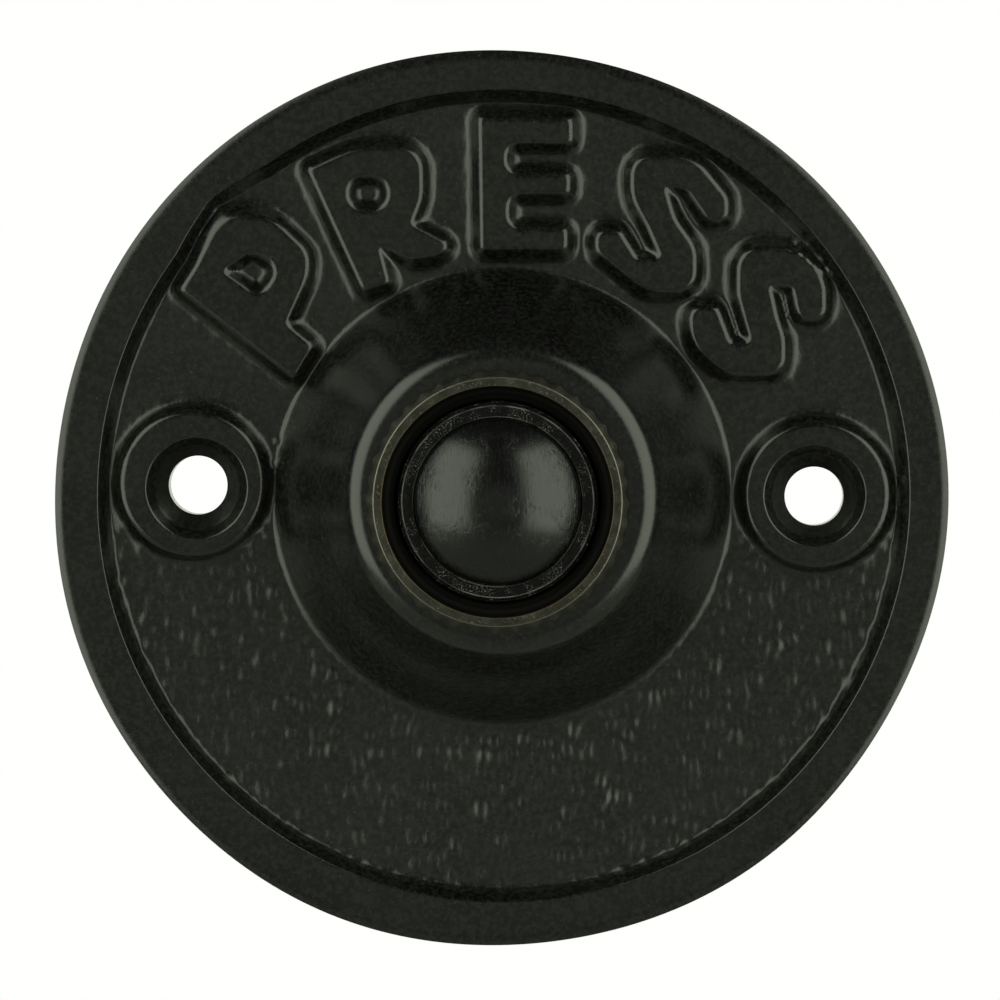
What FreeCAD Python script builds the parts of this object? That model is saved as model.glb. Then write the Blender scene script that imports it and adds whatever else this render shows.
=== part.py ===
import FreeCAD, Part
import math
import os

# A round wall-fixed doorbell push. Every piece is drawn about the button's axis, with X to the right,
# Y up and Z towards the visitor, measured from the wall, and is turned upright when it is saved.

# Face plate, an iron casting. A "front" is a distance from the wall.
plate_radius = 38.0
plate_edge_round = 1.2
rim_front = 5.0
rim_flat = 3.4
rim_run = 1.05
relief = 1.3
casting_wall = 2.4
casting_round = 0.4
wall_ring = 2.6
wall_ring_draft = 0.4

# Bell-shaped boss in the middle of the plate
seat_front = 12.5
shoulder_margin = 1.9
shoulder_round = 3.0
waist_width = 2.12
waist_drop = 3.23
flare_width = 4.43
flare_round = 30.0
flare_foot_round = 1.0
cavity_clearance = 0.5
cavity_foot_wall = 1.9

# Screw bosses and their countersunk holes
screw_spacing = 52.4
screw_boss_radius = 5.95
screw_boss_run = 0.85
screw_hole_radius = 2.5
countersink_radius = 4.4
pad_draft = 0.3

# Button, its travel and the barrel that guides it
button_radius = 6.95
slide_clearance = 0.08
travel = 1.8
stop_gap = 0.1
edge_proud = 0.3
dome_height = 2.9
cap_wall = 1.35
cap_edge_round = 0.25
cap_boss_wall = 1.1
barrel_wall = 1.37
barrel_recess = 1.0
barrel_edge_round = 0.2
floor_thickness = 1.2
collar_wall = 1.7
collar_height = 0.6
flange_width = 3.2
flange_thickness = 1.6
skirt_wall = 1.2
hole_clearance = 0.3
washer_thickness = 0.6
washer_clearance = 0.2

# Knurled ring nut
nut_height = 3.2
nut_wall = 2.5
nut_bevel_width = 0.64
nut_bevel_fall = 0.7
nut_face_width = 0.71
nut_mouth_depth = 1.5
nut_mouth_draft = 0.2
nut_mouth_fall = 0.6
nut_chamfer = 0.35
thread_clearance = 0.1
knurl_count = 40
knurl_depth = 0.3

# Plunger pin, clip and contact bridge
pin_radius = 1.5
groove_depth = 0.4
clip_thickness = 0.5
clip_gap = 0.05
clip_band = 0.9
clip_reach = 0.8
clip_lobe_width = 1.3
clip_mouth = 2.0
pin_land = 0.15
tail_step = 0.6
pin_head_lip = 0.5
pin_head_height = 0.4
bridge_thickness = 0.4
bridge_width = 3.2
bridge_end = 1.3
fit_gap = 0.02

# Return spring
spring_wire_radius = 0.3
spring_turns = 4.5
spring_guide_gap = 0.4

# Contact base with its contacts and terminals
base_thickness = 1.6
base_hole_gap = 0.4
contact_gap = 0.1
pip_radius = 1.2
pip_height = 0.6
rivet_radius = 0.7
rivet_tail_radius = 1.1
rivet_tail_height = 0.3
rivet_washer_gap = 0.4
tag_thickness = 0.5
tag_margin = 0.7
terminal_edge = 0.3
terminal_shank_radius = 1.25
terminal_head_radius = 2.2
terminal_head_height = 1.2
terminal_head_round = 0.25
terminal_reach = 0.3
terminal_washer_lip = 0.1
terminal_washer_thickness = 0.4
bush_wall = 0.55
bush_lip = 0.5
bush_lip_height = 0.4
base_screw_edge = 1.3
base_screw_radius = 0.8
base_screw_grip = 2.4
base_screw_head_radius = 1.6
base_screw_head_height = 0.9
base_screw_boss_wall = 1.1
slot_width = 0.6
slot_depth = 0.5

# Worked-out places along the axis, from the seat back to the terminals
field_front = rim_front - relief
field_back = field_front - casting_wall
waist_front = seat_front - waist_drop
nut_front = seat_front + nut_height
barrel_front = nut_front - barrel_recess
cap_edge = barrel_front + edge_proud
dome_top = cap_edge + dome_height
web_back = seat_front - casting_wall
flange_front = web_back - washer_thickness
flange_back = flange_front - flange_thickness
floor_front = flange_back + floor_thickness
collar_front = floor_front + collar_height
cap_foot = floor_front + travel + stop_gap
cap_boss_foot = collar_front + travel + stop_gap
clip_front = flange_back - clip_gap
clip_back = clip_front - clip_thickness
bridge_front = clip_back - pin_land
bridge_back = bridge_front - bridge_thickness
pin_end = bridge_back - pin_head_height
pip_front = bridge_back - travel - contact_gap
base_front = pip_front - pip_height
base_back = base_front - base_thickness
tag_back = base_back - tag_thickness
terminal_washer_back = tag_back - terminal_washer_thickness
terminal_end = base_front + bush_lip_height + terminal_reach

# Worked-out radii, from the button outwards
bore_radius = button_radius + slide_clearance
barrel_radius = bore_radius + barrel_wall
nut_bore_radius = barrel_radius + thread_clearance
nut_radius = nut_bore_radius + nut_wall
nut_face_radius = nut_radius - nut_bevel_width
nut_mouth_radius = nut_face_radius - nut_face_width
plate_bore_radius = barrel_radius + hole_clearance
flange_radius = barrel_radius + flange_width
skirt_inner_radius = flange_radius - skirt_wall
shoulder_radius = nut_radius + shoulder_margin
waist_radius = shoulder_radius + waist_width
flare_foot_radius = waist_radius + flare_width
cavity_top_radius = flange_radius + cavity_clearance
cavity_foot_radius = flare_foot_radius - cavity_foot_wall
rim_inner_radius = plate_radius - rim_flat
field_radius = rim_inner_radius - rim_run
pin_hole_radius = pin_radius + slide_clearance
collar_radius = pin_hole_radius + collar_wall
hollow_radius = button_radius - cap_wall
groove_radius = pin_radius - groove_depth
tail_radius = pin_radius - tail_step
pin_head_radius = tail_radius + pin_head_lip
spring_radius = collar_radius + spring_guide_gap + spring_wire_radius
terminal_washer_radius = terminal_head_radius + terminal_washer_lip
bush_radius = terminal_shank_radius + bush_wall
terminal_offset = skirt_inner_radius - bush_radius - bush_lip - terminal_edge
contact_offset = terminal_offset - terminal_washer_radius - rivet_tail_radius - rivet_washer_gap
base_screw_offset = flange_radius - base_screw_head_radius - base_screw_edge


def point(across, front, up=0.0):
    return FreeCAD.Vector(across, up, front)


def run_share(corners, i):
    """How much of the run to this neighbour a round may take: nearly all of it if the neighbour is sharp."""
    return 0.98 if corners[i % len(corners)][2] == 0 else 0.45


def rounded_face(corners):
    """A face in the plane of the axis, from corners (radius, front, round) taken in order."""
    places = [point(radius, front) for radius, front, _ in corners]
    edges = []
    ends = []
    for i, (_, _, corner_round) in enumerate(corners):
        here = places[i]
        back = places[i - 1] - here
        ahead = places[(i + 1) % len(places)] - here
        if corner_round == 0:
            ends.append((here, here))
            continue
        room = min(back.Length * run_share(corners, i - 1), ahead.Length * run_share(corners, i + 1))
        half_angle = back.getAngle(ahead) / 2
        back.normalize()
        ahead.normalize()
        step = min(corner_round / math.tan(half_angle), room)
        arc_radius = step * math.tan(half_angle)
        middle_way = back + ahead
        middle_way.normalize()
        middle = here + middle_way * (arc_radius / math.sin(half_angle) - arc_radius)
        start = here + back * step
        finish = here + ahead * step
        edges.append(Part.Arc(start, middle, finish).toShape())
        ends.append((start, finish))
    for i, (_, finish) in enumerate(ends):
        next_start = ends[(i + 1) % len(ends)][0]
        if finish.distanceToPoint(next_start) > 1e-6:
            edges.append(Part.LineSegment(finish, next_start).toShape())
    return Part.Face(Part.Wire(Part.__sortEdges__(edges)))


def turned(corners, across=0.0, up=0.0):
    """The corners' outline turned about the axis, then moved to its place."""
    solid = rounded_face(corners).revolve(point(0, 0), point(0, 1), 360)
    solid.translate(point(across, 0, up))
    return solid


def disc(radius, back, front, across=0.0, up=0.0):
    return Part.makeCylinder(radius, front - back, point(across, back, up), point(0, 1))


def ring(outer, inner, back, front, across=0.0, up=0.0):
    return disc(outer, back, front, across, up).cut(disc(inner, back, front, across, up))


def block(width, height, back, front, across=0.0, up=0.0):
    corner = point(across - width / 2, back, up - height / 2)
    return Part.makeBox(width, height, front - back, corner)


def face_plate():
    outline = [
        (plate_radius, 0, casting_round),
        (plate_radius, rim_front, plate_edge_round),
        (rim_inner_radius, rim_front, casting_round),
        (field_radius, field_front, casting_round),
        (flare_foot_radius, field_front, flare_foot_round),
        (waist_radius, waist_front, flare_round),
        (shoulder_radius, seat_front, shoulder_round),
        (plate_bore_radius, seat_front, 0),
        (plate_bore_radius, web_back, 0),
        (cavity_top_radius, web_back, casting_round),
        (cavity_foot_radius, field_back, casting_round),
        (plate_radius - wall_ring - wall_ring_draft, field_back, casting_round),
        (plate_radius - wall_ring, 0, 0),
    ]
    plate = turned(outline)
    for side in (-1, 1):
        plate = plate.fuse(screw_boss(side * screw_spacing / 2))
    for side in (-1, 1):
        plate = plate.cut(screw_hole(side * screw_spacing / 2))
    return plate.removeSplitter()


def screw_boss(across):
    """A raised round boss with its solid pad behind, which reaches the wall."""
    foot_radius = screw_boss_radius + screw_boss_run
    middle = (field_back + field_front) / 2
    sunk_front = field_front - casting_round / 10
    boss = [
        (0, middle, 0),
        (foot_radius + 2 * casting_round, middle, 0),
        (foot_radius + 2 * casting_round, sunk_front, 0),
        (foot_radius, sunk_front, casting_round),
        (screw_boss_radius, rim_front, casting_round),
        (0, rim_front, 0),
    ]
    pad = [
        (0, 0, 0),
        (screw_boss_radius, 0, 0),
        (screw_boss_radius + pad_draft, middle, 0),
        (0, middle, 0),
    ]
    return turned(boss, across).fuse(turned(pad, across))


def screw_hole(across):
    sink_depth = countersink_radius - screw_hole_radius
    drill = [
        (0, -1, 0),
        (screw_hole_radius, -1, 0),
        (screw_hole_radius, rim_front - sink_depth, 0),
        (countersink_radius + 1, rim_front + 1, 0),
        (0, rim_front + 1, 0),
    ]
    return turned(drill, across)


def push_barrel():
    """The moulded body: threaded barrel, flange, floor with a spring collar, and contact skirt."""
    outline = [
        (pin_hole_radius, flange_back, 0),
        (skirt_inner_radius, flange_back, 0),
        (skirt_inner_radius, base_front, 0),
        (flange_radius, base_front, 0),
        (flange_radius, flange_front, barrel_edge_round),
        (barrel_radius, flange_front, 0),
        (barrel_radius, barrel_front, barrel_edge_round),
        (bore_radius, barrel_front, barrel_edge_round),
        (bore_radius, floor_front, 0),
        (collar_radius, floor_front, 0),
        (collar_radius, collar_front, barrel_edge_round),
        (pin_hole_radius, collar_front, 0),
    ]
    barrel = turned(outline)
    boss_radius = base_screw_radius + base_screw_boss_wall
    inside = disc(skirt_inner_radius + skirt_wall / 2, base_front, flange_back + flange_thickness / 2)
    for side in (-1, 1):
        up = side * base_screw_offset
        boss = disc(boss_radius, base_front, flange_back + flange_thickness / 2, up=up)
        barrel = barrel.fuse(boss.common(inside))
    for side in (-1, 1):
        up = side * base_screw_offset
        barrel = barrel.cut(disc(base_screw_radius + fit_gap, base_front, base_front + base_screw_grip, up=up))
    return barrel.removeSplitter()


def fibre_washer():
    return ring(flange_radius, barrel_radius + washer_clearance, flange_front, web_back)


def ring_nut():
    """A round nut with a straight knurl and a bevelled face, counterbored round the barrel's end."""
    mouth_foot = nut_front - nut_mouth_depth
    outline = [
        (nut_bore_radius, seat_front, 0),
        (nut_radius - nut_chamfer, seat_front, 0),
        (nut_radius, seat_front + nut_chamfer, 0),
        (nut_radius, nut_front - nut_bevel_fall, 0),
        (nut_face_radius, nut_front, 0),
        (nut_mouth_radius, nut_front, 0),
        (nut_mouth_radius - nut_mouth_draft, mouth_foot, 0),
        (nut_bore_radius, mouth_foot - nut_mouth_fall, 0),
    ]
    valley_radius = nut_radius - knurl_depth
    star = []
    for tooth in range(knurl_count):
        for radius, share in ((nut_radius, 0.0), (valley_radius, 0.5)):
            turn = 2 * math.pi * (tooth + share) / knurl_count
            star.append(point(radius * math.cos(turn), seat_front, radius * math.sin(turn)))
    star.append(star[0])
    knurl = Part.Face(Part.makePolygon(star)).extrude(point(0, nut_height))
    return turned(outline).common(knurl)


def button_cap():
    dome_radius = (button_radius ** 2 + dome_height ** 2) / (2 * dome_height)
    outline = [
        (0, cap_edge, 0),
        (pin_radius + fit_gap, cap_edge, 0),
        (pin_radius + fit_gap, cap_boss_foot, 0),
        (pin_radius + cap_boss_wall, cap_boss_foot, cap_edge_round),
        (pin_radius + cap_boss_wall, cap_edge, 0),
        (hollow_radius, cap_edge, cap_edge_round),
        (hollow_radius, cap_foot, 0),
        (button_radius, cap_foot, cap_edge_round),
        (button_radius, dome_top, 0),
        (0, dome_top, 0),
    ]
    dome = Part.makeSphere(dome_radius, point(0, dome_top - dome_radius))
    cap = turned(outline).common(dome)
    rim = [e for e in cap.Edges if abs(e.BoundBox.ZMin - cap_edge) < 1e-6
           and abs(e.BoundBox.ZMax - cap_edge) < 1e-6 and e.BoundBox.XMax > button_radius - 1e-6]
    return cap.makeFillet(cap_edge_round, rim)


def plunger_pin():
    outline = [
        (0, pin_end, 0),
        (pin_head_radius, pin_end, pin_head_height / 2),
        (pin_head_radius, bridge_back, 0),
        (tail_radius, bridge_back, 0),
        (tail_radius, bridge_front, 0),
        (pin_radius, bridge_front, 0),
        (pin_radius, clip_back, 0),
        (groove_radius, clip_back, 0),
        (groove_radius, clip_front, 0),
        (pin_radius, clip_front, 0),
        (pin_radius, cap_edge, 0),
        (0, cap_edge, 0),
    ]
    return turned(outline)


def retaining_clip():
    """An E-clip: a band with three lobes that reach into the pin's groove."""
    band_inner = pin_radius + clip_reach - groove_depth
    band_outer = band_inner + clip_band
    clip = ring(band_outer, band_inner, clip_back, clip_front)
    lobe_length = band_inner - groove_radius + clip_band / 2
    for turn in (0, 90, 180):
        lobe = block(lobe_length, clip_lobe_width, clip_back, clip_front, across=groove_radius + lobe_length / 2)
        lobe.rotate(point(0, 0), point(0, 1), turn)
        clip = clip.fuse(lobe)
    clip = clip.cut(block(clip_mouth, band_outer, clip_back, clip_front, up=-band_outer / 2 - groove_radius))
    clip = clip.cut(disc(groove_radius + fit_gap, clip_back, clip_front))
    return clip.removeSplitter()


def contact_bridge():
    half_length = contact_offset + bridge_end
    strip = block(2 * half_length, bridge_width, bridge_back, bridge_front)
    strip = strip.common(disc(half_length, bridge_back, bridge_front))
    return strip.cut(disc(tail_radius + fit_gap, bridge_back, bridge_front))


def return_spring():
    """A round-wire compression spring, ground flat where it stands on the floor and under the cap."""
    length = cap_edge - floor_front
    pitch = length / spring_turns
    path = Part.makeHelix(pitch, length, spring_radius)
    path.translate(point(0, floor_front))
    rise = pitch / (2 * math.pi * spring_radius)
    section = Part.makeCircle(spring_wire_radius, point(spring_radius, floor_front), point(0, rise, 1))
    coil = Part.Wire(path).makePipeShell([Part.Wire(section)], True, True)
    return coil.common(disc(spring_radius + 2 * spring_wire_radius, floor_front, cap_edge))


def contact_base():
    """The moulded disc that closes the skirt and carries contacts and terminals."""
    base = disc(flange_radius, base_back, base_front)
    base = base.cut(disc(pin_head_radius + base_hole_gap, base_back, base_front))
    for side in (-1, 1):
        base = base.cut(disc(rivet_radius + fit_gap, base_back, base_front, across=side * contact_offset))
        base = base.cut(disc(bush_radius + fit_gap, base_back, base_front, across=side * terminal_offset))
        base = base.cut(disc(base_screw_radius + fit_gap, base_back, base_front, up=side * base_screw_offset))
    return base


def fixed_contact(side):
    """A contact rivet: its head meets the bridge, and its tail holds the terminal plate."""
    outline = [
        (0, tag_back - rivet_tail_height, 0),
        (rivet_tail_radius, tag_back - rivet_tail_height, rivet_tail_height / 2),
        (rivet_tail_radius, tag_back, 0),
        (rivet_radius, tag_back, 0),
        (rivet_radius, base_front, 0),
        (pip_radius, base_front, 0),
        (pip_radius, pip_front, pip_height / 2),
        (0, pip_front, 0),
    ]
    return turned(outline, side * contact_offset)


def terminal_plate(side):
    """A brass tag from the contact rivet out to the terminal screw."""
    near = disc(rivet_tail_radius + tag_margin, tag_back, base_back, across=side * contact_offset)
    far = disc(terminal_washer_radius, tag_back, base_back, across=side * terminal_offset)
    length = terminal_offset - contact_offset
    middle = side * (terminal_offset + contact_offset) / 2
    tag = near.fuse(far).fuse(block(length, 2 * rivet_tail_radius, tag_back, base_back, across=middle))
    tag = tag.cut(disc(rivet_radius + fit_gap, tag_back, base_back, across=side * contact_offset))
    tag = tag.cut(disc(terminal_shank_radius + fit_gap, tag_back, base_back, across=side * terminal_offset))
    return tag.removeSplitter()


def terminal_bush(side):
    """The threaded brass bush that the terminal screw pulls against the base."""
    across = side * terminal_offset
    lip = disc(bush_radius + bush_lip, base_front, base_front + bush_lip_height, across=across)
    bush = lip.fuse(disc(bush_radius, base_back, base_front, across=across))
    bore = disc(terminal_shank_radius + fit_gap, base_back, base_front + bush_lip_height, across=across)
    return bush.cut(bore).removeSplitter()


def terminal_washer(side):
    bore_radius_here = terminal_shank_radius + fit_gap
    return ring(terminal_washer_radius, bore_radius_here, terminal_washer_back, tag_back,
                across=side * terminal_offset)


def slotted_screw(head_radius, head_height, head_round, shank_radius, seat, end):
    """A slotted round-head screw whose head stands behind its seat."""
    outline = [
        (0, seat - head_height, 0),
        (head_radius, seat - head_height, head_round),
        (head_radius, seat, 0),
        (shank_radius, seat, 0),
        (shank_radius, end, shank_radius / 4),
        (0, end, 0),
    ]
    slot = block(slot_width, 2 * head_radius + 1, seat - head_height, seat - head_height + slot_depth)
    return turned(outline).cut(slot)


def terminal_screw(side):
    screw = slotted_screw(terminal_head_radius, terminal_head_height, terminal_head_round,
                          terminal_shank_radius, terminal_washer_back, terminal_end)
    screw.translate(point(side * terminal_offset, 0))
    return screw


def base_screw(side):
    screw = slotted_screw(base_screw_head_radius, base_screw_head_height, terminal_head_round,
                          base_screw_radius, base_back, base_front + base_screw_grip)
    screw.translate(point(0, 0, side * base_screw_offset))
    return screw


def save(shape, name):
    """Turn the piece upright, with its front towards -Y, and write it."""
    solid = shape.copy()
    solid.rotate(point(0, 0), FreeCAD.Vector(1, 0, 0), 90)
    if len(solid.Solids) == 1:
        solid = solid.Solids[0]
    print(name, solid.ShapeType, solid.isValid(), round(solid.Volume, 3))
    solid.exportStep("parts/" + name + ".step")


os.makedirs("parts", exist_ok=True)
save(face_plate(), "face_plate")
save(ring_nut(), "ring_nut")
save(push_barrel(), "push_barrel")
save(fibre_washer(), "fibre_washer")
save(button_cap(), "button_cap")
save(plunger_pin(), "plunger_pin")
save(retaining_clip(), "retaining_clip")
save(contact_bridge(), "contact_bridge")
save(return_spring(), "return_spring")
save(contact_base(), "contact_base")
for side, name in ((-1, "left"), (1, "right")):
    save(fixed_contact(side), "fixed_contact_" + name)
    save(terminal_plate(side), "terminal_plate_" + name)
    save(terminal_bush(side), "terminal_bush_" + name)
    save(terminal_washer(side), "terminal_washer_" + name)
    save(terminal_screw(side), "terminal_screw_" + name)
for side, name in ((-1, "bottom"), (1, "top")):
    save(base_screw(side), "base_screw_" + name)
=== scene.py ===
import math

import bpy
import numpy as np
from mathutils import Matrix, Vector


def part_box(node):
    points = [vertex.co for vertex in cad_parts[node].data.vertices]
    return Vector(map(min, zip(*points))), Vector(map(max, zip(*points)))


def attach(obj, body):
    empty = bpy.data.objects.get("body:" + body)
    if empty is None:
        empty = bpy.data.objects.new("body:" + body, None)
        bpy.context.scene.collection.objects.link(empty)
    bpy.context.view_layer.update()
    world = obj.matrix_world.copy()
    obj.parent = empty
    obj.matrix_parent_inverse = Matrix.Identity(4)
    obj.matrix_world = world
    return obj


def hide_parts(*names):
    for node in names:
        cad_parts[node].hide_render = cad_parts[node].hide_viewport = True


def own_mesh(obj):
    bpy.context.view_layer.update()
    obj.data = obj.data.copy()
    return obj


# Doorbell push: the looks. Lengths in the dictionaries are in mm, and "front" is the distance from the wall.
# The front of the push faces -Y.
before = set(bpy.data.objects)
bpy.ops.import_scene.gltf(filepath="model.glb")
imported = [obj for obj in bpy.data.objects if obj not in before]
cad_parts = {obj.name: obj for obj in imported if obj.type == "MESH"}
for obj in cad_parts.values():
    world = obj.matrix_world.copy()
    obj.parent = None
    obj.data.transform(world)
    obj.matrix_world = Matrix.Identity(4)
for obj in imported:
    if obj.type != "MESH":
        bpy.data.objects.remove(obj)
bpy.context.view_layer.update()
mm = 0.001


def corner(node, axis, highest):
    low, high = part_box(node)
    return (high if highest else low)[axis] / mm


# places that the frame gives
plateRadius = corner("face_plate", 0, True)
seatFront = -corner("ring_nut", 1, True)
nutFront = -corner("ring_nut", 1, False)
nutRadius = corner("ring_nut", 0, True)
barrelFront = -corner("push_barrel", 1, False)
buttonRadius = corner("button_cap", 0, True)
buttonTop = -corner("button_cap", 1, False)
buttonFoot = -corner("button_cap", 1, True)

# Camera, lights and what stands round the push

cameraPlan = {
    "distance": 550,  # from the rim's face to the lens
    "pictureWidth": 84.75,  # seen across at the rim's face
    "rimFront": 5,
    "toTheRight": 0.86,  # degrees off the axis
    "above": 1.63,
    "roll": 1.0,
    "axisAcross": -0.046,  # where the button's axis lies off the middle of the picture
    "axisUp": 0.126,
    "sensor": 36,
}


def setCamera():
    right = math.radians(cameraPlan["toTheRight"])
    above = math.radians(cameraPlan["above"])
    away = Vector((math.sin(right) * math.cos(above), -math.cos(right) * math.cos(above), math.sin(above)))
    turned = away.to_track_quat("Z", "Y").to_matrix()
    turned = turned @ Matrix.Rotation(math.radians(cameraPlan["roll"]), 3, "Z")
    aim = Vector((0, -cameraPlan["rimFront"] * mm, 0))
    aim -= turned @ Vector((cameraPlan["axisAcross"] * mm, cameraPlan["axisUp"] * mm, 0))
    bpy.ops.object.camera_add(location=aim + away * cameraPlan["distance"] * mm, rotation=turned.to_euler())
    camera = bpy.context.object
    camera.data.sensor_width = cameraPlan["sensor"]
    camera.data.lens = cameraPlan["sensor"] * cameraPlan["distance"] / cameraPlan["pictureWidth"]
    camera.data.clip_start = 0.02
    camera.data.clip_end = 20
    bpy.context.scene.camera = camera


# side is the angle round from the view axis, up the height angle, away the distance, all to the lamp's middle
lampTint = (0.92, 1.0, 0.815)
lampPlan = {
    "leftBox": {"side": -52, "up": 8, "away": 800, "width": 720, "height": 1450, "watts": 9.2},
    "rightBox": {"side": 52, "up": 8, "away": 800, "width": 720, "height": 1450, "watts": 9.2},
    "frontFill": {"side": 0, "up": -6, "away": 1200, "width": 700, "height": 900, "watts": 0.56},
    "lowFill": {"side": 0, "up": -58, "away": 700, "width": 900, "height": 500, "watts": 0.12},
    "backWall": {"side": 180, "up": 0, "away": 450, "width": 2400, "height": 2400, "watts": 30.0},
}
worldPlan = {"seen": 1.0, "felt": 0.04, "warmth": (1.0, 1.0, 0.985)}
floorPlan = {"size": 2.4, "below": 420, "tone": (0.29, 0.29, 0.28), "lighter": 1.04, "blot": 400}


def setLamp(name, plan):
    side = math.radians(plan["side"])
    up = math.radians(plan["up"])
    away = Vector((math.sin(side) * math.cos(up), -math.cos(side) * math.cos(up), math.sin(up)))
    bpy.ops.object.light_add(type="AREA", location=away * plan["away"] * mm,
                             rotation=away.to_track_quat("Z", "Y").to_euler())
    lamp = bpy.context.object
    lamp.name = name
    lamp.data.shape = "RECTANGLE"
    lamp.data.size = plan["width"] * mm
    lamp.data.size_y = plan["height"] * mm
    lamp.data.energy = plan["watts"]
    lamp.data.color = lampTint
    lamp.visible_camera = False


# Materials

class Wire:  # a node's output that can stand in an expression
    def __init__(self, paint, socket):
        self.paint = paint
        self.socket = socket

    def __add__(self, other):
        return self.paint.sum("ADD", self, other)

    def __radd__(self, other):
        return self.paint.sum("ADD", other, self)

    def __sub__(self, other):
        return self.paint.sum("SUBTRACT", self, other)

    def __rsub__(self, other):
        return self.paint.sum("SUBTRACT", other, self)

    def __mul__(self, other):
        return self.paint.sum("MULTIPLY", self, other)

    def __rmul__(self, other):
        return self.paint.sum("MULTIPLY", other, self)


class Paint:  # one material and the nodes that are added to it
    def __init__(self, name, **fixed):
        self.material = bpy.data.materials.new(name)
        self.material.use_nodes = True
        self.tree = self.material.node_tree
        self.shader = self.tree.nodes["Principled BSDF"]
        self.feed(self.shader, {key.replace("_", " "): value for key, value in fixed.items()})
        self.place = self.node("ShaderNodeTexCoord", {}, {}, "Object")

    def feed(self, node, sockets):
        for key, value in sockets.items():
            if isinstance(value, Wire):
                self.tree.links.new(value.socket, node.inputs[key])
            else:
                node.inputs[key].default_value = value

    def node(self, kind, settings, sockets, output=0):
        made = self.tree.nodes.new(kind)
        for key, value in settings.items():
            if key == "stops":
                ramp = made.color_ramp.elements
                while len(ramp) < len(value):
                    ramp.new(0.5)
                for element, (position, tone) in zip(ramp, value):
                    element.position = position
                    element.color = (tone, tone, tone, 1) if isinstance(tone, float) else (*tone, 1)
            else:
                setattr(made, key, value)
        self.feed(made, sockets)
        return Wire(self, made.outputs[output])

    def sum(self, operation, first, second=0.0):
        return self.node("ShaderNodeMath", {"operation": operation}, {0: first, 1: second})

    def stretched(self, x=1.0, y=1.0, z=1.0, turn=(0, 0, 0)):
        sockets = {"Vector": self.place, "Scale": (x, y, z), "Rotation": turn}
        return self.node("ShaderNodeMapping", {}, sockets)

    def noise(self, size, detail=2.0, rough=0.5, place=None):  # size is the width of a blot
        sockets = {"Vector": place or self.place, "Scale": 1 / (size * mm)}
        sockets.update({"Detail": detail, "Roughness": rough})
        return self.node("ShaderNodeTexNoise", {}, sockets, "Fac")

    def ramp(self, factor, *stops):
        return self.node("ShaderNodeValToRGB", {"stops": stops}, {"Fac": factor}, "Color")

    def step(self, value, low, high):  # 0 at low and 1 at high
        return self.node("ShaderNodeMapRange", {"clamp": True, "interpolation_type": "SMOOTHSTEP"},
                         {"Value": value, "From Min": low, "From Max": high})

    def beyond(self, radius, wear, line):  # 0 inside one of the radii of a line dictionary and 1 outside it; the nut's and the barrel's dictionaries mark painted highlight lines, and the nut's also painted shade
        return self.step(radius, wear[line] - wear["softness"], wear[line] + wear["softness"])

    def blend(self, factor, first, second):
        colours = [(*tone, 1) if isinstance(tone, tuple) else tone for tone in (first, second)]
        return self.node("ShaderNodeMix", {"data_type": "RGBA"}, {0: factor, 6: colours[0], 7: colours[1]}, 2)

    def across(self):  # distance from the button's axis
        parts = self.node("ShaderNodeSeparateXYZ", {}, {0: self.place})
        split = parts.socket.node
        x = Wire(self, split.outputs[0])
        z = Wire(self, split.outputs[2])
        return self.sum("SQRT", x * x + z * z) * (1 / mm)

    def front(self):  # distance from the wall
        return self.node("ShaderNodeSeparateXYZ", {}, {0: self.place}, 1) * (-1 / mm)

    def bump(self, height, depth, strength=1.0):
        self.feed(self.shader, {"Normal": self.node("ShaderNodeBump", {}, {
            "Height": height, "Distance": depth * mm, "Strength": strength})})


# the field's rougher paint, by distance from the wall
fieldPaint = {"ends": 4.3, "full": 4.0}


def blackEnamel():
    paint = Paint("blackEnamel", Metallic=0.0)
    cloud = paint.noise(7, 3)
    grain = paint.noise(0.4, 3, 0.7)
    streak = paint.noise(0.6, 2, 0.5, paint.stretched(1.0, 1.0, 0.35))
    speck = paint.step(paint.noise(0.28, 1), 0.70, 0.78)
    tone = paint.blend(paint.step(cloud, 0.35, 0.65), (0.0010, 0.0011, 0.0009), (0.0022, 0.0024, 0.0020))
    tone = paint.blend(paint.step(grain, 0.42, 0.62), tone, (0.0072, 0.0077, 0.0066))
    tone = paint.blend(speck * 0.25, tone, (0.07, 0.07, 0.065))
    field = paint.step(paint.front(), fieldPaint["ends"], fieldPaint["full"])
    roughness = 0.17 + 0.06 * cloud + 0.08 * grain + 0.08 * field
    paint.feed(paint.shader, {"Base Color": tone, "Roughness": roughness})
    paint.bump(0.4 * grain + 1.6 * streak * field, 0.02)
    return paint.material


# where the nut gets a painted highlight line at its face's outer edge, a lighter brown ring on its mouth's lip
# and painted shade inside its mouth, by distance from its axis
nutHighlightAndShade = {"mouthEdge": 9.64, "mouthLine": 9.71, "highlightStart": 10.31, "highlightEnd": 10.40, "softness": 0.04}


# bronzed brass with random blots and grain, plus a painted highlight line at the face's edge and painted shade
# inside the mouth
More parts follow.
